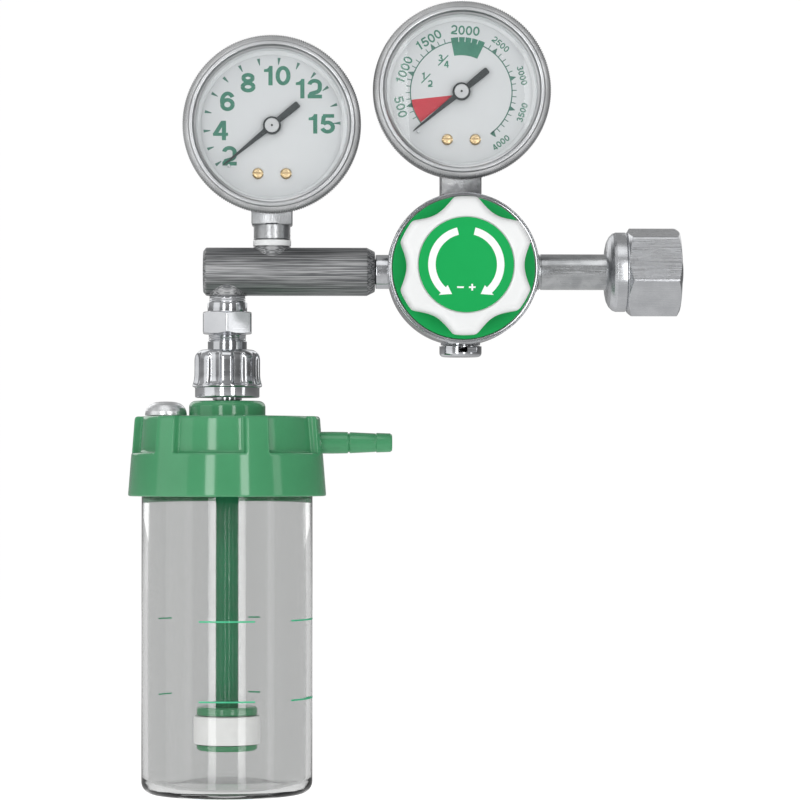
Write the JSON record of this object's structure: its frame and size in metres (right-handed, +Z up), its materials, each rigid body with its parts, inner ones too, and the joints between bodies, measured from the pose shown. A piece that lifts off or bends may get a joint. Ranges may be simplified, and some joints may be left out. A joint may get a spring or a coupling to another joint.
{
  "type": "oxygen regulator with humidifier",
  "caption": "Oxygen pressure regulator with a hex inlet nut, two dial gauges, a lobed flow knob and a screw-on bubble humidifier bottle under a green lid.",
  "frame": {"origin": "centre of the flat tip of the inlet nipple, where it meets the cylinder valve", "axes": "+X out of the inlet, along the inlet axis; +Z up; the dials and the knob face -Y"},
  "size_m": [0.205, 0.0851, 0.2908],
  "materials": {
    "chrome": "bright plate",
    "steel": "fine brushed",
    "brass": "machined",
    "spring_steel": "drawn wire",
    "rubber": "matt",
    "white_plastic": "satin moulded",
    "green_plastic": "satin moulded",
    "green_label": "printed label",
    "dial": "matt printed",
    "black": "satin",
    "sintered": "porous",
    "seal": "thread tape",
    "clear": "clear plastic"
  },
  "bodies": {
    "regulator": {"regulator_body": "chrome", "bonnet": "chrome", "face_label": "green_label", "diaphragm": "rubber", "adjusting_spring": "spring_steel", "valve_nozzle": "brass", "poppet_spring": "spring_steel", "rear_plug": "chrome", "relief_cap": "chrome", "relief_spring": "spring_steel", "inlet_stem": "steel", "inlet_filter": "brass", "outlet_manifold": "chrome", "flow_orifice": "brass", "outlet_adapter": "chrome", "flow_gauge_seal": "seal", "flow_case": "black", "flow_bezel": "chrome", "flow_lens": "clear", "flow_dial": "dial", "flow_socket": "brass", "flow_bourdon_tube": "brass", "flow_movement_plate": "brass", "flow_dial_screw_left": "brass", "flow_dial_screw_right": "brass", "contents_case": "black", "contents_bezel": "chrome", "contents_lens": "clear", "contents_dial": "dial", "contents_socket": "brass", "contents_bourdon_tube": "brass", "contents_movement_plate": "brass", "contents_dial_screw_left": "brass", "contents_dial_screw_right": "brass"},
    "spring_button": {"spring_button": "brass"},
    "knob": {"knob": "white_plastic", "knob_label": "green_label", "adjusting_screw": "steel"},
    "valve": {"valve_poppet": "brass", "diaphragm_plate": "brass"},
    "flow_pointer": {"flow_pointer": "black", "flow_pointer_shaft": "steel"},
    "flow_sector": {"flow_sector_gear": "brass"},
    "contents_pointer": {"contents_pointer": "black", "contents_pointer_shaft": "steel"},
    "contents_sector": {"contents_sector_gear": "brass"},
    "relief_valve": {"relief_poppet": "brass"},
    "inlet_nut": {"inlet_nut": "chrome"},
    "humidifier": {"inlet_spigot": "chrome", "lid": "green_plastic", "dip_tube": "green_plastic", "diffuser_top_cap": "green_plastic", "diffuser_element": "sintered", "diffuser_bottom_cap": "green_plastic", "safety_valve_cap": "chrome", "safety_valve_spring": "spring_steel"},
    "humidifier_nut": {"humidifier_nut": "chrome"},
    "lid_valve": {"safety_valve_disc": "white_plastic"},
    "gasket": {"lid_gasket": "rubber"},
    "bottle": {"bottle": "clear"}
  },
  "joints": [
    {"name": "spring_button_slide", "type": "slide", "parent": "regulator", "child": "spring_button", "axis": [0, 1, 0], "range_m": [0, 0.0038], "deforming": ["adjusting_spring"]},
    {"name": "knob_turn", "type": "hinge", "parent": "spring_button", "child": "knob", "pos_m": [-0.0823, -0.041, 0], "axis": [0, 1, 0], "range_deg": [0, 900]},
    {"name": "valve_lift", "type": "slide", "parent": "regulator", "child": "valve", "axis": [0, 1, 0], "range_m": [0, 0.0008], "deforming": ["poppet_spring", "diaphragm"]},
    {"name": "flow_pointer_turn", "type": "hinge", "parent": "regulator", "child": "flow_pointer", "pos_m": [-0.152, -0.009, 0.0533], "axis": [0, 1, 0], "range_deg": [0, 217]},
    {"name": "flow_sector_turn", "type": "hinge", "parent": "regulator", "child": "flow_sector", "pos_m": [-0.152, 0.0008, 0.0405], "axis": [0, 1, 0], "range_deg": [-30, 0]},
    {"name": "contents_pointer_turn", "type": "hinge", "parent": "regulator", "child": "contents_pointer", "pos_m": [-0.0823, -0.009, 0.066], "axis": [0, 1, 0], "range_deg": [0, 273], "stiffness_Nm_per_rad": 0.00005, "springref_deg": -17.19},
    {"name": "contents_sector_turn", "type": "hinge", "parent": "regulator", "child": "contents_sector", "pos_m": [-0.0823, 0.0008, 0.0532], "axis": [0, 1, 0], "range_deg": [-37, 0]},
    {"name": "relief_valve_lift", "type": "slide", "parent": "regulator", "child": "relief_valve", "axis": [0, 0, -1], "range_m": [0, 0.001], "stiffness_N_per_m": 300, "springref_m": -0.005, "deforming": ["relief_spring"]},
    {"name": "inlet_nut_spin", "type": "hinge", "parent": "regulator", "child": "inlet_nut", "pos_m": [-0.0137, 0, 0], "axis": [1, 0, 0], "continuous": true},
    {"name": "humidifier_swivel", "type": "hinge", "parent": "regulator", "child": "humidifier", "pos_m": [-0.1685, 0, -0.04], "axis": [0, 0, 1], "continuous": true},
    {"name": "humidifier_nut_spin", "type": "hinge", "parent": "humidifier", "child": "humidifier_nut", "pos_m": [-0.1685, 0, -0.0378], "axis": [0, 0, 1], "continuous": true},
    {"name": "lid_valve_lift", "type": "slide", "parent": "humidifier", "child": "lid_valve", "axis": [0, 0, 1], "range_m": [0, 0.0012], "stiffness_N_per_m": 200, "springref_m": -0.005, "deforming": ["safety_valve_spring"]},
    {"name": "bottle_pull", "type": "slide", "parent": "humidifier", "child": "gasket", "axis": [0, 0, -1], "range_m": [0, 0.13]},
    {"name": "bottle_unscrew", "type": "hinge", "parent": "gasket", "child": "bottle", "pos_m": [-0.1685, 0, -0.07], "axis": [0, 0, -1], "range_deg": [0, 540]}
  ],
  "couplings": [
    {"joint": "spring_button_slide", "follows": "knob_turn", "m_per_rad": 0.000238},
    {"joint": "valve_lift", "follows": "knob_turn", "m_per_rad": 0.00005},
    {"joint": "flow_pointer_turn", "follows": "knob_turn", "ratio": 0.241},
    {"joint": "flow_sector_turn", "follows": "knob_turn", "ratio": -0.032133},
    {"joint": "contents_sector_turn", "follows": "contents_pointer_turn", "ratio": -0.13333}
  ]
}
